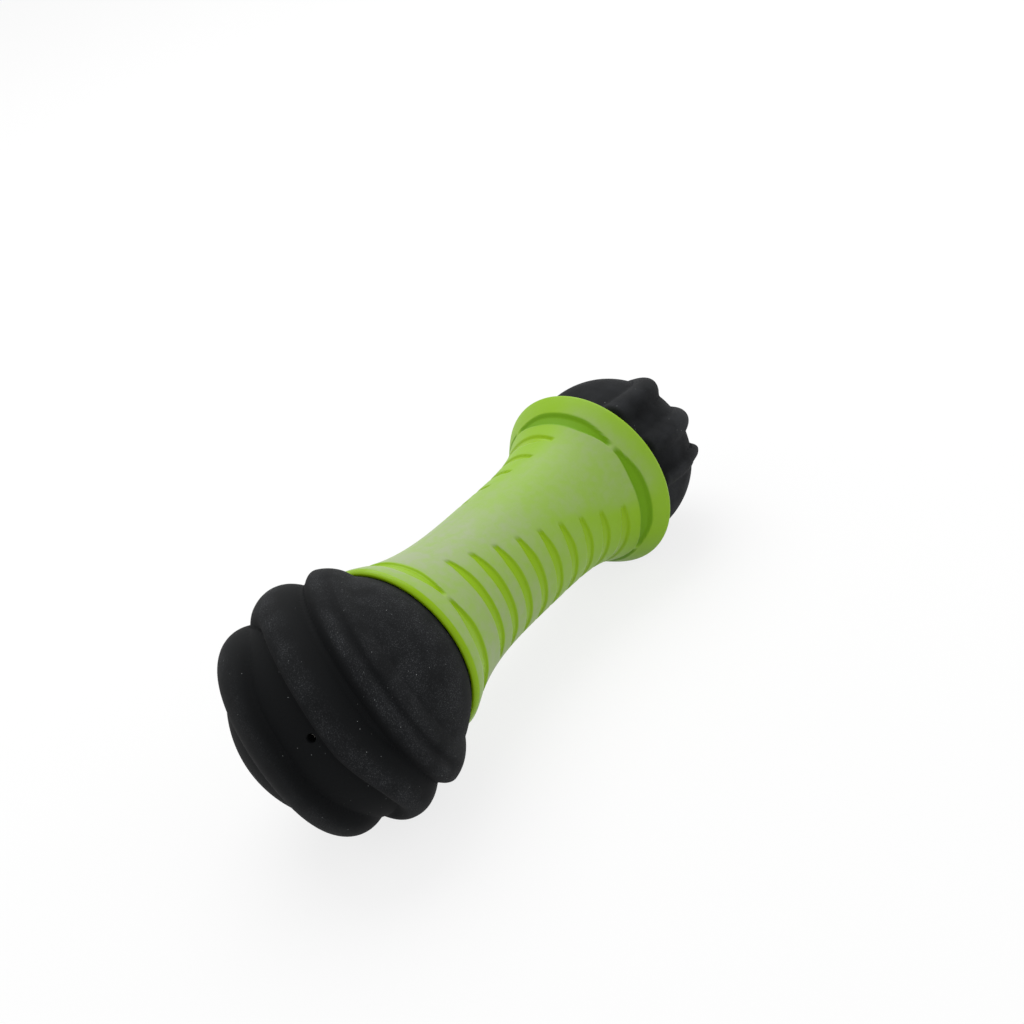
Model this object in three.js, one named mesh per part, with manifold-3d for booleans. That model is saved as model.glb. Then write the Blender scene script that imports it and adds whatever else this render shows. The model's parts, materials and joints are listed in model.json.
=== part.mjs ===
// A dog's fetch stick: a waisted handle sleeve with a ridged hollow rubber ball plugged into each end, the
// left one larger than the right. The stick lies along X with Z up. A core tube inside the sleeve stiffens
// the necks of the balls, and each ball holds a small squeaker capsule behind its air vent.
import * as THREE from 'three';
import { mergeVertices } from 'three/addons/utils/BufferGeometryUtils.js';
import Module from 'manifold-3d';

const wasm = await Module();
wasm.setup();

// Driving dimensions, in millimetres and degrees

// Clearances between pieces that fit together
const fitClearance = 0.3;
const seatClearance = 0.5;
const endClearance = 0.5;

// Handle sleeve: the bore, the walls round it and the flare
const sleeveLength = 95.5;
const boreRadius = 13;
const waistWall = 5.2;
const flarePower = 4.4;
const leftRimWall = 1.9;
const leftShoulderDrop = 3.1;
const rightRimWall = 4.7;
const rightShoulderDrop = 3.9;
const rimLand = 0.4;
const rimRoll = 1.9;
const collarPower = 1.1;

// Ring groove of four crescents, which parts the collar from the flare
const ringInset = 8.2;
const ringWidth = 3.4;
const ringDepth = 1.3;
const crescentCount = 4;
const crescentStart = 157;
const crescentTaper = 26;

// Finger grooves in two groups, parted by two smooth bands that twist along the handle
const gripCount = 9;
const gripPitch = 7.55;
const gripOffset = 2.8;
const gripWidth = 3;
const gripDepth = 1.3;
const gripTaperAngle = 10;
const bandAngle = 122.5;
const bandHalfAngle = 39;
const bandTwist = 1.04;

// Half of a groove's level floor and half of its mouth, as shares of its width
const grooveFloor = 0.22;
const grooveMouth = 0.5;

// Balls: a large one on the left end and a small one on the right, each a hollow rubber sphere
const leftBallRadius = 31.4;
const leftStandoff = 19.4;
const leftClock = 174;
const leftRidgeTilt = 46;
const rightBallRadius = 24.6;
const rightStandoff = 8.9;
const rightClock = 88;
const rightRidgeTilt = 86;
const ballWall = 5.3;
const plugStep = 0.4;
const shoulderGap = 0.4;
const ridgeFade = 2.8;

// Ridges of a ball as shares of its radius, on parallel planes: an inner lip that falls off steeply outwards, a
// broad rib and an outer lip, each with the place of its crest, its reach to either side and its height
const ridges = [
  { crest: -0.335, inward: 0.26, outward: 0.09, height: 0.09 },
  { crest: 0.05, inward: 0.25, outward: 0.265, height: 0.105 },
  { crest: 0.545, inward: 0.225, outward: 0.25, height: 0.12 },
];

// Neck of the ball, with the bead that snaps into the sleeve
const beadInset = 8;
const beadHeight = 1.3;
const beadTopWidth = 2.4;
const beadFlank = 1.4;
const neckChamfer = 1.2;

// Core tube: flanged and ribbed between the necks, barbed inside them
const coreFlangeSpan = 26;
const coreFlangeThickness = 3;
const coreRadius = 8.5;
const coreBoreRadius = 4.5;
const coreRibThickness = 2;
const coreRibCount = 4;
const spigotRadius = 7.2;
const barbCount = 3;
const barbPitch = 5.6;
const barbDepth = 0.8;

// Squeaker capsule behind the vent, and the pocket that holds it
const ventTilt = 31;
const ventSwing = 8;
const ventRadius = 1.25;
const ventWall = 4.1;
const capsuleRadius = 7;
const capsuleLength = 7.4;
const capsuleWall = 1.2;
const airTubeRadius = 2.8;
const airTubeLength = 2.5;
const airHoleRadius = 1.2;
const reedWidth = 3.2;
const reedThickness = 0.4;
const reedOverhang = 2.4;
const clampRadius = 1.1;
const clampOffset = 4.2;
const capThickness = 1.4;
const capHoleRadius = 1.4;
const bossWall = 3.6;
const pocketLipLength = 1;
const pocketLipHeight = 1;

// Lie of the stick on the floor: rolled on to two ridges of the large ball, with that end up
const restRoll = -19.9;
const restPitch = 3.14;

// Facets round each kind of turned piece
const ballFacets = 34;
const cavityFacets = 20;
const neckFacets = 28;
const coreFacets = 20;
const capsuleFacets = 18;

// Sizes that follow from the driving dimensions
const degree = Math.PI / 180;
const sleeveHalf = sleeveLength / 2;
const waistRadius = boreRadius + waistWall;
const leftEnd = endSizes(-1, leftBallRadius, leftStandoff, leftRimWall, leftShoulderDrop);
const rightEnd = endSizes(1, rightBallRadius, rightStandoff, rightRimWall, rightShoulderDrop);
const rimAt = sleeveHalf - rimRoll;
const ringAt = sleeveHalf - ringInset;
const tallestRidge = Math.max(...ridges.map((ridge) => ridge.height));
const gripReach = gripOffset + gripPitch * (gripCount - 1) / 2;
const neckRadius = boreRadius - fitClearance;
const neckBoreRadius = spigotRadius + fitClearance;
const neckEndAt = coreFlangeSpan / 2 + endClearance;
const beadAt = neckEndAt + beadInset;
const spigotEndAt = coreFlangeSpan / 2 + barbCount * barbPitch + neckChamfer;
const pocketRadius = capsuleRadius + fitClearance;
const capsuleInside = capsuleRadius - capsuleWall;
const airTubeEnd = -capsuleWall - airTubeLength;
const reedTop = airTubeEnd - fitClearance - reedThickness;

// Sizes of one ball end and of its seat in the sleeve, on the side where X is minus or plus
function endSizes(side, radius, standoff, rimWall, shoulderDrop) {
  const plugRadius = radius - plugStep;
  const seatRadius = plugRadius + seatClearance;
  const centre = sleeveHalf + standoff;
  const lipRadius = Math.sqrt(seatRadius ** 2 - standoff ** 2);
  return {
    side,
    radius,
    plugRadius,
    seatRadius,
    centre,
    shoulderAt: shoulderGap - standoff,
    lipRadius,
    rimRadius: lipRadius + rimWall,
    shoulderRadius: lipRadius + rimWall - shoulderDrop,
    seatInnerAt: centre - Math.sqrt(seatRadius ** 2 - boreRadius ** 2),
    cavityRadius: radius - ballWall,
    pocketFloor: radius - ventWall,
  };
}

// Finishes
const finish = (color, roughness) => new THREE.MeshStandardMaterial({ color, roughness, metalness: 0 });
const limePlastic = finish(0x8fbf3a, 0.5);
const blackRubber = finish(0x202224, 0.8);
const greyNylon = finish(0xb9b9b2, 0.5);
const whitePlastic = finish(0xe6e4dc, 0.4);
const clearFilm = finish(0xcfd6d8, 0.3);

const smoothStep = (from, to, value) => THREE.MathUtils.smoothstep(value, from, to);
const along = (from, to, steps, skip = 0) =>
  Array.from({ length: steps + 1 - skip }, (_, k) => from + (to - from) * (k + skip) / steps);

// Turns a closed mesh into a solid, with its faces pointing out
function solidOf(geometry) {
  const bare = geometry.clone();
  bare.deleteAttribute('normal');
  bare.deleteAttribute('uv');
  const merged = mergeVertices(bare, 1e-4);
  const places = new Float32Array(merged.attributes.position.array);
  const triangles = Uint32Array.from(merged.index.array);
  const corner = (k) => new THREE.Vector3().fromArray(places, 3 * triangles[k]);
  let volume = 0;
  for (let k = 0; k < triangles.length; k += 3) {
    volume += corner(k).dot(corner(k + 1).cross(corner(k + 2)));
  }
  if (volume < 0) triangles.reverse();
  return new wasm.Manifold(new wasm.Mesh({ numProp: 3, vertProperties: places, triVerts: triangles }));
}

function geometryOf(solid) {
  const mesh = solid.getMesh();
  const geometry = new THREE.BufferGeometry();
  geometry.setAttribute('position', new THREE.Float32BufferAttribute(mesh.vertProperties, 3));
  geometry.setIndex(new THREE.Uint32BufferAttribute(mesh.triVerts, 1));
  geometry.computeVertexNormals();
  return geometry;
}

// Revolves pairs of (place along X, radius) about the X axis
function turned(profile, facets) {
  const points = profile.map(([x, radius]) => new THREE.Vector2(radius, x));
  return new THREE.LatheGeometry(points, facets).rotateZ(-Math.PI / 2);
}

const ring = (profile, facets) => turned([...profile, profile[0]], facets);
const rod = (from, to, radius, facets) => turned([[from, 0], [from, radius], [to, radius], [to, 0]], facets);

// Handle sleeve

// Radius of the hourglass flare, which grows as a power of the distance from the middle
function flareRadius(u) {
  const { shoulderRadius } = u < 0 ? leftEnd : rightEnd;
  return waistRadius + (shoulderRadius - waistRadius) * (Math.abs(u) / ringAt) ** flarePower;
}

// The collar swells from the ring groove to the rim
function collarRadius({ side, rimRadius }, u) {
  const rootAt = ringAt + grooveMouth * ringWidth;
  const root = flareRadius(side * rootAt);
  const left = (rimAt - u) / (rimAt - rootAt);
  return rimRadius - (rimRadius - root) * left ** collarPower;
}

// A row of the sleeve's skin: its place, its radius and its shares of the two kinds of groove depth
const row = (u, radius, gripShare = 0, ringShare = 0) => ({ u, radius, gripShare, ringShare });

// Outer rows of one end, from the ring groove to the edge of the rim
function endRows(end) {
  const rows = [];
  for (const [shift, share] of [[-grooveMouth, 0], [-grooveFloor, 1], [grooveFloor, 1]]) {
    const u = end.side * (ringAt + shift * ringWidth);
    rows.push(row(u, flareRadius(u), 0, share));
  }
  for (const u of along(ringAt + grooveMouth * ringWidth, rimAt, 3)) {
    rows.push(row(end.side * u, collarRadius(end, u)));
  }
  for (const turn of along(0, Math.PI / 2, 4, 1)) {
    const drop = (end.rimRadius - end.lipRadius - rimLand) * (1 - Math.cos(turn));
    rows.push(row(end.side * (rimAt + rimRoll * Math.sin(turn)), end.rimRadius - drop));
  }
  return rows;
}

// Outer rows of the handle between the two ring grooves, four to a finger groove
function gripRows() {
  const rows = [];
  for (const middle of along(2 * gripOffset - gripReach, gripReach, gripCount - 1)) {
    for (const [shift, share] of [[-grooveMouth, 0], [-grooveFloor, 1], [grooveFloor, 1], [grooveMouth, 0]]) {
      const u = middle + shift * gripWidth;
      rows.push(row(u, flareRadius(u), share));
    }
  }
  const first = rows[0].u;
  const ringEdge = grooveMouth * ringWidth - ringAt;
  const bare = along(ringEdge, first, 3, 1).slice(0, -1).map((u) => row(u, flareRadius(u)));
  return [...bare, ...rows];
}

// Inner rows of one end, from the edge of the rim: the round seat of the ball, then the snap groove
function seatRows(end) {
  const seat = along(sleeveHalf, end.seatInnerAt, 6).map((u) => {
    return row(end.side * u, Math.sqrt(end.seatRadius ** 2 - (end.centre - u) ** 2));
  });
  const halfTop = beadTopWidth / 2 + fitClearance;
  const snap = [[halfTop + beadFlank, 0], [halfTop, beadHeight], [-halfTop, beadHeight], [-halfTop - beadFlank, 0]];
  const snapRows = snap.map(([shift, height]) => row(end.side * (beadAt + shift), boreRadius + height));
  const before = along(end.seatInnerAt, end.side * snapRows[0].u, 3, 1).slice(0, -1);
  return [...seat, ...before.map((u) => row(end.side * u, boreRadius)), ...snapRows];
}

// Angles round half a turn, measured from the middle of a smooth band, closer where a finger groove ends
function bandColumns() {
  const edge = bandHalfAngle;
  const deep = bandHalfAngle + gripTaperAngle;
  const half = [
    ...along(-edge, edge, 5),
    edge + gripTaperAngle / 2,
    ...along(deep, 180 - deep, 7),
    180 - edge - gripTaperAngle / 2,
  ];
  return [...half, ...half.map((angle) => angle + 180)];
}

// Distance in degrees from an angle to the nearest of the places that stand a step apart
const fromNearest = (angle, step) => Math.abs(((angle + step / 2) % step + step) % step - step / 2);

function grooveDepth({ gripShare, ringShare }, fromBand, angle) {
  const grip = gripDepth * gripShare * smoothStep(0, gripTaperAngle, fromBand - bandHalfAngle);
  const fromBreak = fromNearest(angle - crescentStart, 360 / crescentCount);
  return grip + ringDepth * ringShare * smoothStep(0, crescentTaper, fromBreak);
}

// The skin runs out over the handle and back through the bore, and its columns lean with the smooth bands
function handleSleeve() {
  const leftSeat = seatRows(leftEnd);
  const rightSeat = seatRows(rightEnd);
  const boreEnds = [rightSeat.at(-1).u, leftSeat.at(-1).u];
  const rows = [
    ...endRows(leftEnd).reverse(),
    ...gripRows(),
    ...endRows(rightEnd),
    ...rightSeat,
    ...along(...boreEnds, 5, 1).slice(0, -1).map((u) => row(u, boreRadius)),
    ...leftSeat.reverse(),
  ];
  const columns = bandColumns();
  const places = [];
  for (const skin of rows) {
    const lean = bandTwist * THREE.MathUtils.clamp(skin.u, -gripReach, gripReach);
    for (const column of columns) {
      const angle = bandAngle + column + lean;
      const radius = skin.radius - grooveDepth(skin, fromNearest(column, 180), angle);
      places.push(skin.u, radius * Math.cos(angle * degree), radius * Math.sin(angle * degree));
    }
  }
  const triangles = [];
  const at = (k, column) => (k % rows.length) * columns.length + column % columns.length;
  for (let k = 0; k < rows.length; k += 1) {
    for (let column = 0; column < columns.length; column += 1) {
      const corners = [at(k, column), at(k, column + 1), at(k + 1, column + 1), at(k + 1, column)];
      triangles.push(corners[0], corners[2], corners[1], corners[0], corners[3], corners[2]);
    }
  }
  const geometry = new THREE.BufferGeometry();
  geometry.setAttribute('position', new THREE.Float32BufferAttribute(places, 3));
  geometry.setIndex(triangles);
  return geometryOf(solidOf(geometry));
}

// Ball end, modelled about its centre with its outward end towards +X

// Height of the ridges as a share of the radius, at a share of it across from the ball's middle: each ridge is
// an arched lobe that falls as the square of the distance from its crest
function ridgeHeight(across) {
  const lobes = ridges.map(({ crest, inward, outward, height }) => {
    const from = (across - crest) / (across < crest ? inward : outward);
    return height * (1 - Math.min(from ** 2, 1));
  });
  return Math.max(...lobes);
}

// Polar angles of the sphere's rings, set on the feet and crests of the ridges so that the facets follow them
function ridgeRings() {
  const places = ridges.flatMap(({ crest, inward, outward }) => {
    return [...along(crest - inward, crest, 3), ...along(crest, crest + outward, 3, 1)];
  });
  const rings = places.map((across) => Math.acos(across)).reverse();
  return [
    ...along(0, rings[0], 3).slice(0, -1),
    ...rings,
    ...along(rings.at(-1), Math.PI, 3, 1),
  ];
}

function ridgedSphere({ radius, shoulderAt }, ridgeTilt) {
  const rings = ridgeRings();
  const sphere = new THREE.SphereGeometry(1, ballFacets, rings.length - 1);
  const places = sphere.attributes.position;
  const normal = new THREE.Vector3(Math.cos(ridgeTilt * degree), Math.sin(ridgeTilt * degree), 0);
  const first = new THREE.Vector3(normal.y, -normal.x, 0);
  const second = new THREE.Vector3(0, 0, 1);
  for (let k = 0; k < places.count; k += 1) {
    const polar = rings[Math.floor(k / (ballFacets + 1))];
    const round = (k % (ballFacets + 1)) % ballFacets * 2 * Math.PI / ballFacets;
    const sine = Math.sin(polar) < 1e-9 ? 0 : Math.sin(polar);
    const way = normal.clone().multiplyScalar(Math.cos(polar))
      .addScaledVector(first, sine * Math.cos(round))
      .addScaledVector(second, sine * Math.sin(round));
    const fade = smoothStep(shoulderAt, shoulderAt + ridgeFade, radius * way.x);
    way.multiplyScalar(radius * (1 + ridgeHeight(Math.cos(polar)) * fade));
    places.setXYZ(k, way.x, way.y, way.z);
  }
  return sphere;
}

// The ball outside the sleeve ends in a flat shoulder that faces the rim
function exposedSolid(end, ridgeTilt) {
  const reach = 2 * end.radius * (1 + 2 * tallestRidge);
  const room = new THREE.BoxGeometry(reach, reach, reach).translate(reach / 2 + end.shoulderAt, 0, 0);
  return solidOf(ridgedSphere(end, ridgeTilt)).intersect(solidOf(room));
}

// The part of the ball inside the sleeve is a plain sphere, a step smaller
function plugSolid({ plugRadius, shoulderAt }) {
  const inside = shoulderAt / 2;
  const arc = along(Math.PI, Math.acos(inside / plugRadius), 9).map((turn, k) => {
    return [plugRadius * Math.cos(turn), k === 0 ? 0 : plugRadius * Math.sin(turn)];
  });
  return solidOf(turned([...arc, [inside, 0]], neckFacets));
}

// The neck runs back from the sphere, with a snap bead round it
function neckSolid({ centre, cavityRadius }) {
  const tip = neckEndAt - centre;
  const bead = beadAt - centre;
  const halfTop = beadTopWidth / 2;
  return solidOf(turned([
    [tip, 0],
    [tip, neckRadius - neckChamfer],
    [tip + neckChamfer, neckRadius],
    [bead - halfTop - beadFlank, neckRadius],
    [bead - halfTop, neckRadius + beadHeight],
    [bead + halfTop, neckRadius + beadHeight],
    [bead + halfTop + beadFlank, neckRadius],
    [-cavityRadius, neckRadius],
    [-cavityRadius, 0],
  ], neckFacets));
}

// The hollow of the ball and the bore of its neck
function hollowSolid({ centre, cavityRadius }) {
  const tip = neckEndAt - centre - endClearance;
  const start = Math.asin(neckBoreRadius / cavityRadius);
  const arc = along(Math.PI - start, 0, 12).map((turn) => {
    return [cavityRadius * Math.cos(turn), turn === 0 ? 0 : cavityRadius * Math.sin(turn)];
  });
  return solidOf(turned([[tip, 0], [tip, neckBoreRadius], ...arc], cavityFacets));
}

// Turns a piece modelled along X on to the line of the vent
const ontoVent = (geometry) => geometry.rotateZ(-ventTilt * degree).rotateX(ventSwing * degree);

function ballEnd(end, ridgeTilt) {
  const pocketMouth = end.pocketFloor - fitClearance - capsuleLength - fitClearance;
  const bossInner = pocketMouth - pocketLipLength;
  const boss = ontoVent(rod(bossInner, end.pocketFloor, pocketRadius + bossWall, cavityFacets));
  const pocket = ontoVent(turned([
    [bossInner - endClearance, 0],
    [bossInner - endClearance, pocketRadius - pocketLipHeight],
    [pocketMouth, pocketRadius - pocketLipHeight],
    [pocketMouth, pocketRadius],
    [end.pocketFloor, pocketRadius],
    [end.pocketFloor, 0],
  ], capsuleFacets));
  const ventEnd = end.radius * (1 + 2 * tallestRidge);
  const vent = ontoVent(rod(end.pocketFloor - fitClearance, ventEnd, ventRadius, capsuleFacets));
  return geometryOf(exposedSolid(end, ridgeTilt)
    .add(plugSolid(end))
    .add(neckSolid(end))
    .subtract(hollowSolid(end))
    .add(solidOf(boss))
    .subtract(solidOf(pocket))
    .subtract(solidOf(vent)));
}

// Core tube

function coreTube() {
  const flange = coreFlangeSpan / 2;
  const half = [
    [flange - coreFlangeThickness, coreRadius],
    [flange - coreFlangeThickness, neckRadius],
    [flange, neckRadius],
  ];
  for (let k = 0; k < barbCount; k += 1) {
    const start = flange + k * barbPitch;
    half.push([start, spigotRadius - barbDepth], [start + barbPitch / 3, spigotRadius - barbDepth]);
    half.push([start + barbPitch / 3, spigotRadius]);
  }
  half.push([spigotEndAt, spigotRadius - barbDepth], [spigotEndAt, coreBoreRadius]);
  const mirrored = half.map(([x, radius]) => [-x, radius]).reverse();
  let core = solidOf(ring([...half, ...mirrored], coreFacets));
  const ribReach = neckRadius - coreBoreRadius - neckChamfer;
  const ribLength = coreFlangeSpan - coreFlangeThickness;
  for (let k = 0; k < coreRibCount; k += 1) {
    const rib = new THREE.BoxGeometry(ribLength, ribReach, coreRibThickness);
    rib.translate(0, neckRadius - neckChamfer - ribReach / 2 + (coreRadius - coreBoreRadius) / 4, 0);
    core = core.add(solidOf(rib.rotateX(2 * Math.PI * k / coreRibCount)));
  }
  const bore = rod(-spigotEndAt - endClearance, spigotEndAt + endClearance, coreBoreRadius, coreFacets);
  return geometryOf(core.subtract(solidOf(bore)));
}

// Squeaker capsule, along X with its outer face at X = 0 and the vent beyond it

function clampPost(from, to) {
  return solidOf(rod(from, to, clampRadius, capsuleFacets / 2).translate(0, clampOffset, 0));
}

function squeakerBody() {
  const cup = ring([
    [0, airHoleRadius],
    [0, capsuleRadius],
    [-capsuleLength, capsuleRadius],
    [-capsuleLength, capsuleInside],
    [-capsuleWall, capsuleInside],
    [-capsuleWall, airTubeRadius],
    [airTubeEnd, airTubeRadius],
    [airTubeEnd, airHoleRadius],
  ], capsuleFacets);
  return geometryOf(solidOf(cup).add(clampPost(airTubeEnd, -capsuleWall / 2)));
}

// The reed is a flat tongue, clamped at one end and free over the air tube
function squeakerReed() {
  const half = reedWidth / 2;
  const root = clampOffset + clampRadius;
  const outline = new THREE.Shape();
  outline.moveTo(root, -half);
  outline.lineTo(root, half);
  outline.lineTo(-reedOverhang, half);
  outline.absarc(-reedOverhang, 0, half, Math.PI / 2, 3 * Math.PI / 2, false);
  outline.lineTo(root, -half);
  const tongue = new THREE.ExtrudeGeometry(outline, {
    depth: reedThickness,
    bevelEnabled: false,
    curveSegments: 8,
  });
  tongue.rotateZ(Math.PI / 2).rotateY(Math.PI / 2).rotateX(Math.PI / 2);
  return geometryOf(solidOf(tongue.translate(reedTop, 0, 0)));
}

function squeakerCap() {
  const radius = capsuleInside - fitClearance;
  const disc = ring([
    [-capsuleLength, capHoleRadius],
    [-capsuleLength, radius],
    [capThickness - capsuleLength, radius],
    [capThickness - capsuleLength, capHoleRadius],
  ], capsuleFacets);
  const post = clampPost(capThickness / 2 - capsuleLength, reedTop - fitClearance);
  return geometryOf(solidOf(disc).add(post));
}

// Assembly

const stick = new THREE.Group();

function addPiece(group, name, geometry, material) {
  const piece = new THREE.Mesh(geometry, material);
  piece.name = name;
  group.add(piece);
}

function addEnd(name, sizes, ridgeTilt, turns) {
  const end = new THREE.Group();
  end.position.set(sizes.side * sizes.centre, 0, 0);
  end.rotation.set(...turns);
  addPiece(end, `${name}_ball`, ballEnd(sizes, ridgeTilt), blackRubber);
  const squeaker = new THREE.Group();
  squeaker.rotation.set(ventSwing * degree, 0, -ventTilt * degree);
  squeaker.position.set(sizes.pocketFloor - fitClearance, 0, 0).applyEuler(squeaker.rotation);
  addPiece(squeaker, `${name}_squeaker_body`, squeakerBody(), whitePlastic);
  addPiece(squeaker, `${name}_squeaker_reed`, squeakerReed(), clearFilm);
  addPiece(squeaker, `${name}_squeaker_cap`, squeakerCap(), whitePlastic);
  end.add(squeaker);
  stick.add(end);
}

addPiece(stick, 'handle_sleeve', handleSleeve(), limePlastic);
addPiece(stick, 'core_tube', coreTube(), greyNylon);
addEnd('left', leftEnd, leftRidgeTilt, [leftClock * degree, 0, Math.PI]);
addEnd('right', rightEnd, rightRidgeTilt, [rightClock * degree, 0, 0]);

// The stick is rolled about its own length, then tipped to lie on Z = 0, with the origin under its middle
stick.rotation.set(restRoll * degree, restPitch * degree, 0, 'YXZ');
const extent = new THREE.Box3().setFromObject(stick, true);
const middle = extent.getCenter(new THREE.Vector3());
stick.position.set(-middle.x, -middle.y, -extent.min.z);

export default stick;
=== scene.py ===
import json
import bpy
import numpy as np
from mathutils import Matrix


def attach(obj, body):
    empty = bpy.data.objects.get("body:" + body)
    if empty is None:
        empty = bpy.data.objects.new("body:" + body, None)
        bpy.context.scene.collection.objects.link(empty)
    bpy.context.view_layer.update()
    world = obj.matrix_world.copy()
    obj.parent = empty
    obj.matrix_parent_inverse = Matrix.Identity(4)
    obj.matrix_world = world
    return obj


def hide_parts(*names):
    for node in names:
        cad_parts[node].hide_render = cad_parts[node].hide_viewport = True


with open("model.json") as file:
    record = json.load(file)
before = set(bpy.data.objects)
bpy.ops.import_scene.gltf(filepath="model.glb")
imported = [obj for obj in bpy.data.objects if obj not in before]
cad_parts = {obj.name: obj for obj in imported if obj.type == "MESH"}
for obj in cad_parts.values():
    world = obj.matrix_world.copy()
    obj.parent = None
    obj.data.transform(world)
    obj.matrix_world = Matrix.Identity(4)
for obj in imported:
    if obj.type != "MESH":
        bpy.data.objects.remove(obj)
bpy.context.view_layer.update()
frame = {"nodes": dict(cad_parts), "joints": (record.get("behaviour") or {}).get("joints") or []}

mm = 0.001


# The stick's own frame: X along the line that both balls turn about, rolled as the stick lies

lie = {"roll": -19.9}

hinge = frame["joints"][0]
roll = np.radians(lie["roll"])
stickX = np.array(hinge["axis"]) / np.linalg.norm(hinge["axis"])
levelY = np.array([0.0, 1.0, 0.0])
levelZ = np.cross(stickX, levelY)
stickY = np.cos(roll) * levelY + np.sin(roll) * levelZ
stickAxes = np.stack([stickX, stickY, np.cross(stickX, stickY)])


def toRoom(points):  # millimetres in the stick's frame become metres in the room
    return points * mm @ stickAxes + np.array(hinge["pos_m"])


def aboutX(points, turn):  # points turned about the stick's line
    x, y, z = np.moveaxis(points, -1, 0)
    return np.stack([x, y * np.cos(turn) - z * np.sin(turn), y * np.sin(turn) + z * np.cos(turn)], axis=-1)


def stand(thing, axes, place):  # sets an object at a place in the room, with these as its own three axes
    turn = np.eye(4)
    turn[:3, :3], turn[:3, 3] = np.stack(axes, axis=1), place
    thing.matrix_world = Matrix(turn.tolist())
    bpy.context.scene.collection.objects.link(thing)


# Surfaces

def smoothStep(low, high, value):  # rises from 0 to 1 between low and high, level at both ends
    share = np.clip((value - low) / (high - low), 0, 1)
    return share * share * (3 - 2 * share)


def fromNearest(angle, step):  # degrees from an angle to the nearest of the places a step apart
    return np.abs((angle + step / 2) % step - step / 2)


def tubeMesh(name, grid, attributes):
    # A grid of closed rings whose last ring joins the first, so the skin is one tube bent round on itself
    rows, columns = grid.shape[:2]
    corner = np.arange(rows * columns).reshape(rows, columns)
    beside = np.roll(corner, -1, axis=1)
    quads = np.stack([corner, beside, np.roll(beside, -1, axis=0), np.roll(corner, -1, axis=0)], axis=-1)
    quads = quads.reshape(-1, 4)
    flat = grid.reshape(-1, 3)
    a, b, c, d = (flat[quads[:, k]] for k in range(4))
    if np.einsum("ij,ij->", a - flat.mean(axis=0), np.cross(c - a, d - b)) < 0:  # faces point outwards
        quads = quads[:, ::-1]
    mesh = bpy.data.meshes.new(name)
    mesh.vertices.add(len(flat))
    mesh.vertices.foreach_set("co", flat.astype(np.float32).ravel())
    mesh.loops.add(quads.size)
    mesh.loops.foreach_set("vertex_index", quads.astype(np.int32).ravel())
    mesh.polygons.add(len(quads))
    mesh.polygons.foreach_set("loop_start", np.arange(0, quads.size, 4, dtype=np.int32))
    mesh.update(calc_edges=True)
    mesh.polygons.foreach_set("use_smooth", np.ones(len(quads), dtype=bool))
    for key, values in attributes.items():
        layer = mesh.attributes.new(key, "FLOAT", "POINT")
        layer.data.foreach_set("value", values.astype(np.float32).ravel())
    piece = bpy.data.objects.new(name, mesh)
    bpy.context.scene.collection.objects.link(piece)
    return piece


# Finishes

class Wire:
    # A socket that is added, multiplied and taken away like a number
    def __init__(self, finish, socket):
        self.finish, self.socket = finish, socket

    def sum(self, operation, first, second):
        return self.finish.node("ShaderNodeMath", {"operation": operation}, {0: first, 1: second})

    def __add__(self, other):
        return self.sum("ADD", self, other)

    def __mul__(self, other):
        return self.sum("MULTIPLY", self, other)

    def __sub__(self, other):
        return self.sum("SUBTRACT", self, other)

    def __rsub__(self, other):
        return self.sum("SUBTRACT", other, self)

    __radd__, __rmul__ = __add__, __mul__


class Finish:
    # One material or world, its nodes and the links between them
    def __init__(self, owner):
        owner.use_nodes = True
        self.owner, self.tree = owner, owner.node_tree
        self.tree.nodes.clear()

    def node(self, kind, settings=None, inputs=None, output=0):
        made = self.tree.nodes.new(kind)
        for key, value in (settings or {}).items():
            if key == "stops":
                for stop, (place, shade) in zip(made.color_ramp.elements, value):
                    stop.position, stop.color = place, (shade, shade, shade, 1)
            else:
                setattr(made, key, value)
        for key, value in (inputs or {}).items():
            if isinstance(value, Wire):
                self.tree.links.new(value.socket, made.inputs[key])
            else:
                made.inputs[key].default_value = value
        return Wire(self, made.outputs[output] if made.outputs else None)

    def noise(self, size, detail):  # cloudy noise whose lumps are about this size
        place = self.node("ShaderNodeTexCoord", output="Object")
        return self.node("ShaderNodeTexNoise", inputs={"Vector": place, "Scale": 1 / size, "Detail": detail})

    def ramp(self, value, low, high):  # 0 below low, 1 above high
        return self.node("ShaderNodeValToRGB", {"stops": [(low, 0), (high, 1)]}, {"Fac": value})

    def clouds(self, size, detail, low, high):  # noise with clear gaps below low and full cover above high
        return self.ramp(self.noise(size, detail), low, high)

    def specks(self, spacing, reach):  # 1 in small dots scattered about this far apart, 0 between them
        place = self.node("ShaderNodeTexCoord", output="Object")
        away = self.node("ShaderNodeTexVoronoi", inputs={"Vector": place, "Scale": 1 / spacing})
        return self.node("ShaderNodeMath", {"operation": "LESS_THAN"}, {0: away, 1: reach})

    def attribute(self, name):
        return self.node("ShaderNodeAttribute", {"attribute_name": name}, output="Fac")

    def blend(self, factor, first, second):  # from the first colour to the second as the factor rises
        return self.node("ShaderNodeMix", {"data_type": "RGBA"}, {0: factor, 6: first, 7: second}, 2)

    def bump(self, height, depth, strength):
        return self.node("ShaderNodeBump", inputs={"Strength": strength, "Distance": depth, "Height": height})

    def surface(self, kind, inputs):
        shader = self.node(kind, inputs=inputs)
        self.node("ShaderNodeOutputMaterial", inputs={"Surface": shader})
        return self.owner


def newFinish(name):
    return Finish(bpy.data.materials.new(name))


# Lime sleeve: frosted lands with a painted sheen laid over them as a milky colour; glossy, more saturated
# grooves, with the far ring in shade

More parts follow.
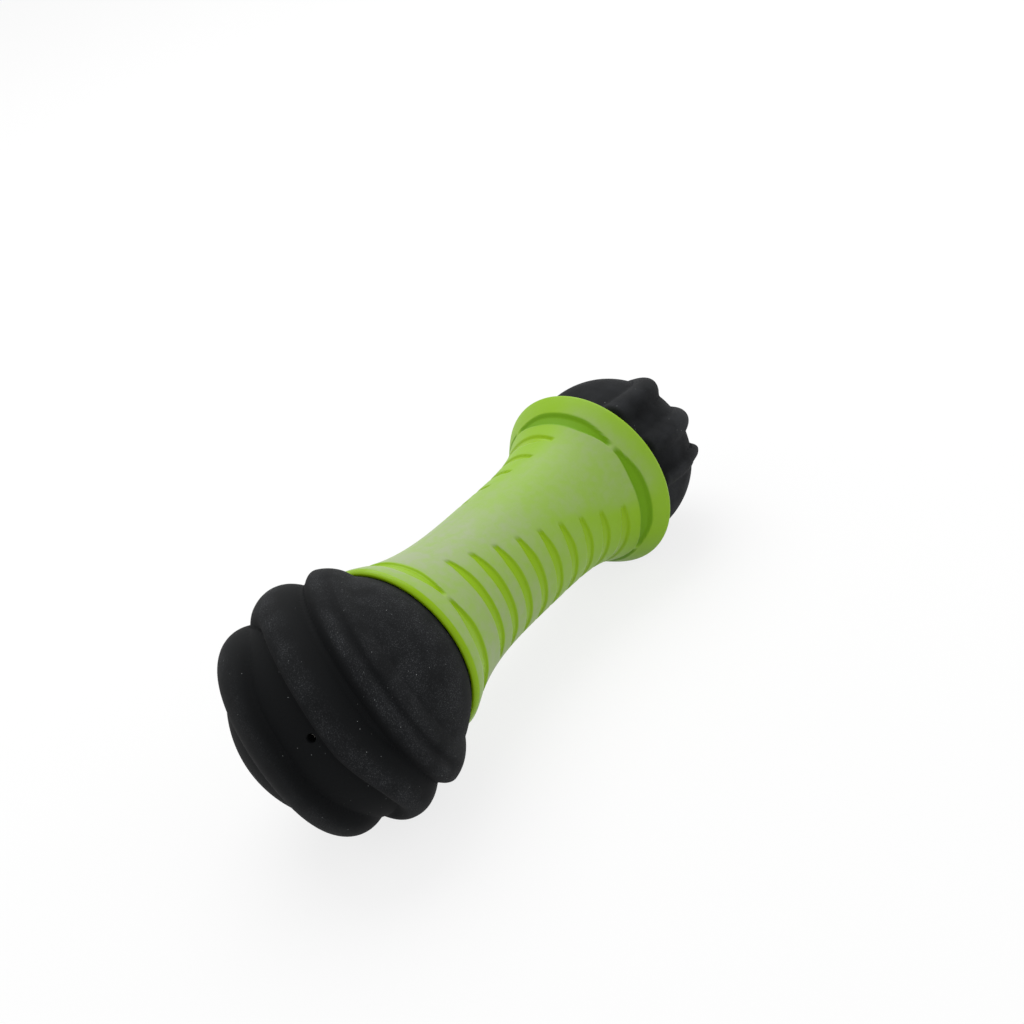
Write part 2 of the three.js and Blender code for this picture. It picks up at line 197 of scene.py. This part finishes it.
limeLook = {
    "land": (0.235, 0.43, 0.008, 1), "paintedSheenColour": (0.312, 0.38, 0.205, 1),
    "groove": (0.24, 0.425, 0.001, 1), "shaded": (0.14, 0.31, 0.001, 1),
    "landRough": 0.42, "frostRough": 0.1, "grooveRough": 0.27, "shadedRough": 0.25, "specular": 0.16,
    "mottle": {"size": 14 * mm, "detail": 3, "low": 0.35, "high": 0.7},
    "streaks": {"size": 2.6 * mm, "detail": 5, "low": 0.4, "high": 0.62},
    "frost": {"size": 0.5 * mm, "detail": 4}, "frostDepth": 0.06 * mm, "frostStrength": 0.35,
    "evenHaze": 0.5, "mottledHaze": 0.25, "streakedHaze": 0.3, "bareHaze": 0.1,
}


def limePlastic():
    look, f = limeLook, newFinish("lime_sleeve")
    groove, shade = f.attribute("groove"), f.attribute("shade")
    mottle = f.clouds(**look["mottle"])
    frost = f.noise(**look["frost"])
    streaks = f.clouds(**look["streaks"])
    cover = look["evenHaze"] + look["mottledHaze"] * mottle + look["streakedHaze"] * streaks
    # The milky colour is a painted sheen, a painted reflection of the lamp, laid on by its mask and clouded
    # by the noise
    paintedSheenAmount = f.attribute("paintedSheen") * cover + look["bareHaze"] * mottle
    land = f.blend(paintedSheenAmount, look["land"], look["paintedSheenColour"])
    grooveFloor = f.blend(shade, look["groove"], look["shaded"])
    rough = look["landRough"] + look["frostRough"] * frost
    grooveRough = look["grooveRough"] + look["shadedRough"] * shade
    return f.surface("ShaderNodeBsdfPrincipled", {
        "Base Color": f.blend(groove, land, grooveFloor),
        "Roughness": rough + groove * (grooveRough - rough),
        "Normal": f.bump(frost * (1 - groove), look["frostDepth"], look["frostStrength"]),
        "Specular IOR Level": look["specular"],
    })


# Black rubber: matt, smooth in the valleys, with a fine grey grit where it is rubbed and a little dust. The
# crests are lighter from wear and a painted highlight, the valleys stay dark as painted shade, and the far
# ball has a painted haze of light all over

rubberLook = {
    "deep": (0.0035, 0.004, 0.0045, 1), "wornAndPaintedLight": (0.017, 0.018, 0.020, 1),
    "grit": (0.11, 0.115, 0.12, 1), "dust": (0.25, 0.26, 0.26, 1),
    "rough": 0.78, "grainRough": 0.14, "specular": 0.13,
    "patches": {"size": 8 * mm, "detail": 4, "low": 0.38, "high": 0.66}, "leastCover": 0.25,
    "grain": {"size": 0.27 * mm, "detail": 2}, "gritLow": 0.54, "gritHigh": 0.7,
    "gritDepth": 0.12 * mm, "gritStrength": 0.5,
    "specks": {"spacing": 2.4 * mm, "reach": 0.05},
}


def blackRubber():
    look, f = rubberLook, newFinish("black_rubber")
    patch = f.clouds(**look["patches"])
    grain = f.noise(**look["grain"])
    cover = look["leastCover"] + (1 - look["leastCover"]) * patch
    grit = f.attribute("grit")
    # Lighter where worn and where a highlight is painted on the crests, dark in the valleys as painted shade,
    # and over the far ball as a painted haze of light
    body = f.blend(f.attribute("wearAndPaintedLight") * cover, look["deep"], look["wornAndPaintedLight"])
    gritty = f.blend(grit * cover * f.ramp(grain, look["gritLow"], look["gritHigh"]), body, look["grit"])
    dust = f.specks(**look["specks"]) * patch
    return f.surface("ShaderNodeBsdfPrincipled", {
        "Base Color": f.blend(dust, gritty, look["dust"]),
        "Roughness": look["rough"] + look["grainRough"] * grain,
        "Normal": f.bump(grain * grit, look["gritDepth"], look["gritStrength"]),
        "Specular IOR Level": look["specular"],
    })


# Hidden mouldings: natural nylon core, squeaker capsule and its reed

mouldingLook = {
    "cloud": {"size": 6 * mm, "detail": 3},
    "grainDetail": 2, "grainRough": 0.12, "grainDepth": 0.03 * mm, "grainStrength": 0.2,
}

hiddenLooks = {
    "core_nylon": {"pale": (0.50, 0.49, 0.45, 1), "dark": (0.44, 0.43, 0.39, 1),
                   "rough": 0.42, "grainSize": 0.4 * mm},
    "squeaker_plastic": {"pale": (0.78, 0.76, 0.70, 1), "dark": (0.72, 0.70, 0.63, 1),
                         "rough": 0.3, "grainSize": 0.3 * mm},
    "reed_film": {"pale": (0.60, 0.65, 0.67, 1), "dark": (0.55, 0.60, 0.63, 1),
                  "rough": 0.2, "grainSize": 0.2 * mm},
}


def plainMoulding(name):
    shared, look, f = mouldingLook, hiddenLooks[name], newFinish(name)
    cloud = f.noise(**shared["cloud"])
    grain = f.noise(look["grainSize"], shared["grainDetail"])
    return f.surface("ShaderNodeBsdfPrincipled", {
        "Base Color": f.blend(cloud, look["pale"], look["dark"]),
        "Roughness": look["rough"] + shared["grainRough"] * grain,
        "Normal": f.bump(grain, shared["grainDepth"], shared["grainStrength"]),
    })


# Sizes of the sleeve and the balls, in millimetres and degrees

sleeve = {
    "length": 95.5, "bore": 13, "waistWall": 5.7, "collarPower": 1.1, "rimLand": 0.4, "rimRoll": 1.9,
    "ringInset": 8.2, "ringRoot": 2.3, "ringDepth": 0.75,
    "crescents": 4, "crescentStart": 157, "crescentTaper": 30, "crescentBlunt": 5, "crescentTip": 0.35,
    "gripCount": 9, "gripPitch": 7.55, "gripOffset": 2.8, "gripWidth": 3.3, "gripDepth": 0.6,
    "gripTaper": 26, "gripBlunt": 4, "gripTip": 0.5,
    "wallFrom": 0.6, "tintFrom": 0.9, "tintTo": 1.2,  # shares of half a groove's width
    "bandAngle": 122.5, "bandHalf": 39, "bandTwist": 1.04, "bandSoft": 12,
    # The next four set where the painted sheen lies along the stick and round the smooth bands
    "paintedSheenFrom": 35, "paintedSheenTo": -25, "paintedSheenBetween": 0.75, "paintedSheenOnBand": 0.5,
    "snapPlay": 0.3,
    "rowStep": 0.28, "rollRows": 10, "seatRows": 16, "landRows": 5, "boreRows": 10, "columns": 240,
}

ball = {
    # Per end: how much painted sheen the sleeve loses by this rim, the painted haze of light over the whole
    # ball, and the crests' wear with its painted highlight
    "left": {"side": -1, "radius": 31.4, "standoff": 19.4, "clock": 174, "ridgeTilt": 46, "ridgeReach": 1,
             "rimWall": 1.3, "shoulderDrop": 2.5, "flarePower": 3, "ringWidth": 4.8, "paintedSheenLoss": 0.2,
             "rubbedAndHighlit": 0.6, "paintedHaze": 0, "grit": 1, "valley": 1},
    "right": {"side": 1, "radius": 24.6, "standoff": 8.9, "clock": 88, "ridgeTilt": 86, "ridgeReach": 0.6,
              "rimWall": 4.7, "shoulderDrop": 3.9, "flarePower": 4.4, "ringWidth": 3.3, "paintedSheenLoss": 0.85,
              "rubbedAndHighlit": 0.8, "paintedHaze": 0.85, "grit": 0.25, "valley": 0},
    "wall": 5.3, "plugStep": 0.4, "seatClearance": 0.5, "shoulderGap": 0.4, "ridgeFade": 2.8,
    # Inner lip, rib and outer lip in shares of the radius; by the vent a foot draws back and the rib leans
    "ridges": [
        {"crest": -0.335, "inward": 0.26, "outward": 0.09, "height": 0.09,
         "drawIn": 0, "drawOut": 0, "lean": 0},
        {"crest": 0.05, "inward": 0.25, "outward": 0.265, "height": 0.105,
         "drawIn": 0, "drawOut": 0.155, "lean": 0.1},
        {"crest": 0.55, "inward": 0.23, "outward": 0.245, "height": 0.12,
         "drawIn": 0.168, "drawOut": 0, "lean": 0},
    ],
    "lipOpens": (0.4, 1), "ribOpens": (0.05, 0.55), "ribLeans": (0.15, 0.8), "archPower": 2, "stepPower": 4,
    "crease": -0.425, "creaseWidth": 0.032, "creaseDepth": 0.032, "creaseFade": 0.5,
    "crestPower": 6, "lipLoss": 0.5, "lipLossOver": (0.3, 0.6),
    "collarRubAndHighlight": 0.8, "collarRubAndHighlightOver": (-0.42, -0.5),
    "neck": 12.7, "neckBore": 7.5, "neckEnd": 13.5, "neckChamfer": 1.2,
    "bead": 21.5, "beadHeight": 1.3, "beadTop": 2.4, "beadFlank": 1.4,
    "ventTilt": 31, "ventTiltOver": (0.1, 0.9), "ventSwing": 8, "ventRadius": 1.25, "ventWall": 4.1,
    "ventRow": 0.6,  # share of the vent's wall at which its hole has a row between the two ends
    "pocket": 7.3, "pocketDepth": 8, "pocketLip": 1, "bossWall": 3.6,
    "surfaceRows": 190, "plugRows": 22, "hollowRows": 40, "columns": 240,
}

half = sleeve["length"] / 2
rimAt = half - sleeve["rimRoll"]
ringAt = half - sleeve["ringInset"]
waist = sleeve["bore"] + sleeve["waistWall"]
gripSpan = sleeve["gripPitch"] * (sleeve["gripCount"] - 1) / 2


# Handle sleeve

def bySide(u, key):  # a setting of the end that a place along the stick belongs to
    return np.where(u < 0, ball["left"][key], ball["right"][key])


def seatRadius(end):
    return end["radius"] - ball["plugStep"] + ball["seatClearance"]


def lipRadius(end):  # radius at which the round seat meets the rim's plane
    return np.sqrt(seatRadius(end) ** 2 - end["standoff"] ** 2)


def rimRadius(end):
    return lipRadius(end) + end["rimWall"]


def outerRadius(u):
    # Flare: a power of the distance from the middle. Collar: swells from the ring groove to the rim
    rim = np.where(u < 0, rimRadius(ball["left"]), rimRadius(ball["right"]))
    swell = rim - bySide(u, "shoulderDrop") - waist
    power = bySide(u, "flarePower")
    flare = waist + swell * (np.abs(u) / ringAt) ** power
    rootAt = ringAt + sleeve["ringRoot"]
    root = waist + swell * (rootAt / ringAt) ** power
    left = np.clip((rimAt - np.abs(u)) / (rimAt - rootAt), 0, 1)
    return np.where(np.abs(u) < rootAt, flare, rim - (rim - root) * left ** sleeve["collarPower"])


def trough(across, start):  # share of a groove's depth and of its colour, from its middle 0 to its edge 1
    depth = 1 - smoothStep(sleeve["wallFrom"], 1, across)
    tint = 1 - smoothStep(sleeve["tintFrom"], sleeve["tintTo"], across)
    return depth * start, tint * start


def gripShare(u, fromBand):
    # Finger grooves: a trough round the stick with steep walls that starts blunt and narrow at a smooth band
    first = sleeve["gripOffset"] - gripSpan
    index = np.clip(np.round((u - first) / sleeve["gripPitch"]), 0, sleeve["gripCount"] - 1)
    into = fromBand - sleeve["bandHalf"]
    widening = sleeve["gripTip"] + (1 - sleeve["gripTip"]) * smoothStep(0, sleeve["gripTaper"], into)
    across = np.abs(u - first - index * sleeve["gripPitch"]) / (sleeve["gripWidth"] / 2 * widening)
    return trough(across, smoothStep(0, sleeve["gripBlunt"], into))


def ringShare(u, angle):
    # Ring groove: crescents that are wide in the middle and run out to a point where they meet
    fromBreak = fromNearest(angle - sleeve["crescentStart"], 360 / sleeve["crescents"])
    swell = smoothStep(0, sleeve["crescentTaper"], fromBreak)
    widening = sleeve["crescentTip"] + (1 - sleeve["crescentTip"]) * swell
    across = np.abs(np.abs(u) - ringAt) / (bySide(u, "ringWidth") / 2 * widening)
    return trough(across, smoothStep(0, sleeve["crescentBlunt"], fromBreak))


def paintedSheenMask(u, fromBand):
    # Painted sheen: full at the near end and fading along the stick, never quite gone on the bands, less at
    # the rims
    band = 1 - smoothStep(-sleeve["bandSoft"], sleeve["bandSoft"], fromBand - sleeve["bandHalf"])
    along = smoothStep(sleeve["paintedSheenFrom"], sleeve["paintedSheenTo"], u)
    between = sleeve["paintedSheenBetween"] + (1 - sleeve["paintedSheenBetween"]) * band
    paintedSheen = np.maximum(along * between, sleeve["paintedSheenOnBand"] * band)
    return paintedSheen * (1 - bySide(u, "paintedSheenLoss") * smoothStep(ringAt, rimAt, np.abs(u)))


def rimRoll(end):  # quarter of an ellipse from the collar over to the edge of the seat
    turn = np.linspace(0, np.pi / 2, sleeve["rollRows"])[1:]
    drop = end["rimWall"] - sleeve["rimLand"]
    places = rimAt + sleeve["rimRoll"] * np.sin(turn)
    return end["side"] * places, rimRadius(end) - drop * (1 - np.cos(turn))


def seatProfile(end):
    # The ball's round seat, then the bore with the snap groove for the bead on the neck
    centre, seat = half + end["standoff"], seatRadius(end)
    u = np.linspace(half, centre - np.sqrt(seat ** 2 - sleeve["bore"] ** 2), sleeve["seatRows"])
    seatRadii = np.sqrt(seat ** 2 - (centre - u) ** 2)
    top, flank = ball["beadTop"] / 2 + sleeve["snapPlay"], ball["beadFlank"]
    snapAt = ball["bead"] + np.array([top + flank, top, -top, -top - flank])
    snapRadii = sleeve["bore"] + np.array([0, 1, 1, 0]) * ball["beadHeight"]
    before = np.linspace(u[-1], snapAt[0], sleeve["landRows"])[1:-1]
    places = np.concatenate([u, before, snapAt])
    return end["side"] * places, np.concatenate([seatRadii, np.full(len(before), sleeve["bore"]), snapRadii])


def makeSleeve():
    # Rows run over the handle from rim to rim and back through the bore; columns lean with the smooth bands
    skin = np.linspace(-rimAt, rimAt, int(2 * rimAt / sleeve["rowStep"]))
    leftRoll, rightRoll = rimRoll(ball["left"]), rimRoll(ball["right"])
    leftSeat, rightSeat = seatProfile(ball["left"]), seatProfile(ball["right"])
    bore = np.linspace(rightSeat[0][-1], leftSeat[0][-1], sleeve["boreRows"])[1:-1]
    places = np.concatenate([leftRoll[0][::-1], skin, rightRoll[0], rightSeat[0], bore, leftSeat[0][::-1]])
    radii = np.concatenate([leftRoll[1][::-1], outerRadius(skin), rightRoll[1], rightSeat[1],
                            np.full(len(bore), sleeve["bore"]), leftSeat[1][::-1]])
    u, radius = places[:, None], radii[:, None]
    outside = np.zeros((len(places), 1))
    outside[len(leftRoll[0]):len(leftRoll[0]) + len(skin)] = 1
    column = np.arange(sleeve["columns"]) * 360 / sleeve["columns"]
    fromBand = fromNearest(column, 180)
    reach = sleeve["gripOffset"] + gripSpan
    angle = sleeve["bandAngle"] + column + sleeve["bandTwist"] * np.clip(u, -reach, reach)
    grip, gripTint = gripShare(u, fromBand)
    ring, ringTint = ringShare(u, angle)
    radius = radius - (sleeve["gripDepth"] * grip + sleeve["ringDepth"] * ring) * outside
    turn = np.radians(angle)
    grid = np.stack([u + 0 * turn, radius * np.cos(turn), radius * np.sin(turn)], axis=-1)
    return tubeMesh("limeSleeve", toRoom(grid), {
        "groove": np.where(outside > 0, np.maximum(gripTint, ringTint), 1),
        "shade": ((ringTint > 0) & (u > 0)) * outside,
        # share of painted sheen at each point
        "paintedSheen": paintedSheenMask(u, fromBand),
    })


# Ball ends

def ridgeLobe(across, ridge, end, facing, below):
    # An arched lobe, 1 at its crest, that falls as the square of the distance from it. Where the valley round
    # the vent opens, a foot draws back and falls as a higher power, which leaves a step; the outer lip only
    # near by. Below the vent the rib's crest leans away from the valley
    lipOpen = end["valley"] * smoothStep(*ball["lipOpens"], facing)
    ribOpen = end["valley"] * smoothStep(*ball["ribOpens"], facing)
    away = across - ridge["crest"] + ridge["lean"] * ribOpen * smoothStep(*ball["ribLeans"], below)
    inward = ridge["inward"] - ridge["drawIn"] * lipOpen
    outward = ridge["outward"] - ridge["drawOut"] * ribOpen
    reach = end["ridgeReach"] * np.where(away < 0, inward, outward)
    drawn = np.where(away < 0, (ridge["drawIn"] > 0) * lipOpen, (ridge["drawOut"] > 0) * ribOpen)
    power = ball["archPower"] + (ball["stepPower"] - ball["archPower"]) * drawn
    return 1 - np.clip(np.abs(away) / reach, 0, 1) ** power


def arcRows(radius, turn, lean):  # profile rows along a circle, from straight ahead at 0 round to the back
    return np.stack([radius * np.cos(turn), radius * np.sin(turn), lean + 0 * turn], axis=-1)


def ballProfile(end):
    # Rows of (along, out, lean): along and out from an axis that leans from the vent's line to the stick's
    radius, centre = end["radius"], half + end["standoff"]
    shoulderAt = ball["shoulderGap"] - end["standoff"]
    plug, cavity = radius - ball["plugStep"], radius - ball["wall"]
    floor = radius - ball["ventWall"]
    tilt, tiltOver = ball["ventTilt"], ball["ventTiltOver"]

    first, last = np.arcsin(ball["ventRadius"] / radius), np.arccos(shoulderAt / radius)
    turn = np.linspace(first, last, ball["surfaceRows"])
    surface = arcRows(radius, turn, tilt * (1 - smoothStep(*tiltOver, (turn - first) / (last - first))))

    neckAt = -np.sqrt(plug ** 2 - ball["neck"] ** 2)
    turn = np.linspace(np.arccos(shoulderAt / plug), np.arccos(neckAt / plug), ball["plugRows"])
    plugRows = arcRows(plug, turn, 0)

    tip, bead = ball["neckEnd"] - centre, ball["bead"] - centre
    top, flank, neck, bore = ball["beadTop"] / 2, ball["beadFlank"], ball["neck"], ball["neckBore"]
    neckRows = np.array([
        (bead + top + flank, neck, 0), (bead + top, neck + ball["beadHeight"], 0),
        (bead - top, neck + ball["beadHeight"], 0), (bead - top - flank, neck, 0),
        (tip + ball["neckChamfer"], neck, 0), (tip, neck - ball["neckChamfer"], 0),
        (tip, bore, 0), (tip / 2 - cavity / 2, bore, 0),
    ])

    boss = ball["pocket"] + ball["bossWall"]
    first, last = np.pi - np.arcsin(bore / cavity), np.arcsin(boss / cavity)
    turn = np.linspace(first, last, ball["hollowRows"])
    hollow = arcRows(cavity, turn, tilt * smoothStep(*tiltOver, (first - turn) / (first - last)))

    mouth, lip, pocket = floor - ball["pocketDepth"], ball["pocketLip"], ball["pocket"]
    pocketRows = np.array([
        (mouth - lip, boss, tilt), (mouth - lip, pocket - lip, tilt), (mouth, pocket - lip, tilt),
        (mouth, pocket, tilt), (floor, pocket, tilt), (floor, ball["ventRadius"], tilt),
        (floor + ball["ventWall"] * ball["ventRow"], ball["ventRadius"], tilt),
    ])
    return np.concatenate([surface, plugRows, neckRows, hollow, pocketRows]), shoulderAt


def makeBall(name):
    end = ball[name]
    profile, shoulderAt = ballProfile(end)
    along, out, lean = profile[:, 0, None], profile[:, 1, None], np.radians(profile[:, 2, None])
    column = np.arange(ball["columns"]) * 2 * np.pi / ball["columns"]
    x = along * np.cos(lean) + out * np.sin(lean) * np.cos(column)
    side = -along * np.sin(lean) + out * np.cos(lean) * np.cos(column)
    up = out * np.sin(column)
    place = aboutX(np.stack([x, side, up], axis=-1), np.radians(ball["ventSwing"]))

    # The outer skin swells along its own direction by the ridges, which fade at the sleeve
    tilt = np.radians(end["ridgeTilt"])
    way = place / np.linalg.norm(place, axis=-1, keepdims=True)
    normal = np.array([np.cos(tilt), np.sin(tilt), 0])
    across = way @ normal
    ventWay = way[0].mean(axis=0)
    ventSide = ventWay - (ventWay @ normal) * normal
    ventSide = ventSide / np.linalg.norm(ventSide)
    girth = np.sqrt(np.maximum(1 - across ** 2, 1e-6))  # kept above 0, as it divides
    facing, below = way @ ventSide / girth, way @ np.cross(ventSide, normal) / girth
    fade = smoothStep(shoulderAt, shoulderAt + ball["ridgeFade"], end["radius"] * way[..., 0])
    fade[ball["surfaceRows"]:] = 0
    lobes = [ridgeLobe(across, ridge, end, facing, below) * fade for ridge in ball["ridges"]]
    heights = [lobe * ridge["height"] for lobe, ridge in zip(lobes, ball["ridges"])]
    crease = np.exp(-((across - ball["crease"]) / ball["creaseWidth"]) ** 2)
    crease = crease * smoothStep(0, ball["creaseFade"], facing) * fade
    place = place * (1 + np.max(heights, axis=0) - ball["creaseDepth"] * crease)[..., None]

    # Rubbed on the crests, as wear with a painted highlight, less on the outer lip, and by the collar; the
    # valleys keep painted shade
    crests = np.max(lobes, axis=0) ** ball["crestPower"]
    crests = crests * (1 - ball["lipLoss"] * smoothStep(*ball["lipLossOver"], across))
    byCollar = ball["collarRubAndHighlight"] * smoothStep(*ball["collarRubAndHighlightOver"], across)
    rubbedAndHighlit = end["rubbedAndHighlit"] * np.maximum(crests, byCollar) * fade

    # Turned about the stick to its clock angle; the left ball faces the other way
    if end["side"] < 0:
        place = place * np.array([-1, -1, 1])
    turned = aboutX(place, np.radians(end["clock"]))
    turned[..., 0] += end["side"] * (half + end["standoff"])
    # The far ball's skin is lifted all over by a painted haze of light
    return tubeMesh(name + "RubberBall", toRoom(turned),
                    {"wearAndPaintedLight": rubbedAndHighlit + end["paintedHaze"], "grit": rubbedAndHighlit * end["grit"]})


# Pieces ride on the CAD bodies and stand for their plain solids

rubber = blackRubber()
sleevePiece = makeSleeve()
sleevePiece.data.materials.append(limePlastic())
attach(sleevePiece, "handle")
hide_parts("handle_sleeve")
print("sleeve:", len(sleevePiece.data.polygons), "faces")

for end in ("left", "right"):
    rubberBall = makeBall(end)
    rubberBall.data.materials.append(rubber)
    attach(rubberBall, end + "_end")
    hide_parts(end + "_ball")
    print(end, "ball:", len(rubberBall.data.polygons), "faces")

nylon, capsule, film = (plainMoulding(name) for name in hiddenLooks)
hiddenFinishes = {"core_tube": nylon}
for end in ("left", "right"):
    hiddenFinishes[end + "_squeaker_body"] = hiddenFinishes[end + "_squeaker_cap"] = capsule
    hiddenFinishes[end + "_squeaker_reed"] = film
for node, finish in hiddenFinishes.items():
    frame["nodes"][node].data.materials.clear()
    frame["nodes"][node].data.materials.append(finish)
print("finishes:", len(bpy.data.materials))


# Camera, in the stick's own frame: where it stands, and its right, down and forward directions

view = {
    "place": (-373.57, -434.87, 134.62), "focalPixels": 2120.1, "imagePixels": 1024,
    "right": (0.56667, -0.65154, -0.50436),
    "down": (-0.50614, 0.20775, -0.83705),
    "forward": (0.65016, 0.72961, -0.21204),
}

right, down, forward = (np.array(view[key]) @ stickAxes for key in ("right", "down", "forward"))
cameraData = bpy.data.cameras.new("camera")
cameraData.lens = cameraData.sensor_width * view["focalPixels"] / view["imagePixels"]
camera = bpy.data.objects.new("camera", cameraData)
stand(camera, (right, -down, -forward), toRoom(np.array(view["place"])))
bpy.context.scene.camera = camera


# Studio: pale floor, white surroundings and soft lamps set by the camera's own directions

studio = {
    "floorSize": 6.0, "floorWhite": 0.82, "floorGlow": 0.8, "skyLight": 0.7,
    "lamps": {
        "key": {"right": -0.3, "up": 0.9, "back": 0.0, "away": 0.9, "size": 0.9, "watts": 6},
        "fill": {"right": 0.5, "up": 0.5, "back": 0.7, "away": 1.1, "size": 0.8, "watts": 0.8},
    },
}


def seenRays(f):  # 1 for rays that see the surroundings, straight or in a reflection
    rays = [f.node("ShaderNodeLightPath", output=key) for key in
            ("Is Camera Ray", "Is Glossy Ray", "Is Transmission Ray")]
    seen = rays[0] + rays[1] + rays[2]
    return f.node("ShaderNodeClamp", inputs={"Value": seen})


def makeFloor():
    f = newFinish("pale_floor")
    white = studio["floorWhite"]
    matt = f.node("ShaderNodeBsdfDiffuse", inputs={"Color": (white, white, white, 1)})
    glow = f.node("ShaderNodeEmission", inputs={"Color": (1, 1, 1, 1), "Strength": 1})
    f.surface("ShaderNodeMixShader", {0: seenRays(f) * studio["floorGlow"], 1: matt, 2: glow})
    reach = studio["floorSize"] / 2
    corners = [(-reach, -reach, 0), (reach, -reach, 0), (reach, reach, 0), (-reach, reach, 0)]
    mesh = bpy.data.meshes.new("floor")
    mesh.from_pydata(corners, [], [(0, 1, 2, 3)])
    mesh.materials.append(f.owner)
    floor = bpy.data.objects.new("floor", mesh)
    bpy.context.scene.collection.objects.link(floor)


def makeSky():
    world = bpy.data.worlds.new("studio")
    f = Finish(world)
    seen = seenRays(f)
    strength = seen + (1 - seen) * studio["skyLight"]
    back = f.node("ShaderNodeBackground", inputs={"Color": (1, 1, 1, 1), "Strength": strength})
    f.node("ShaderNodeOutputWorld", inputs={"Surface": back})
    bpy.context.scene.world = world


def makeLamp(name, lamp):
    way = lamp["right"] * right - lamp["up"] * down - lamp["back"] * forward
    way = way / np.linalg.norm(way)
    level = np.cross(way, (0.0, 0.0, 1.0))
    level /= np.linalg.norm(level)
    place = np.array(hinge["pos_m"]) + way * lamp["away"]
    data = bpy.data.lights.new(name, "AREA")
    data.shape, data.size, data.energy = "DISK", lamp["size"], lamp["watts"]
    stand(bpy.data.objects.new(name, data), (level, np.cross(way, level), way), place)
    print(name, "lamp at height", round(float(place[2]), 2))


makeFloor()
makeSky()
for name, lamp in studio["lamps"].items():
    makeLamp(name, lamp)
bpy.context.scene.view_settings.view_transform = "Standard"
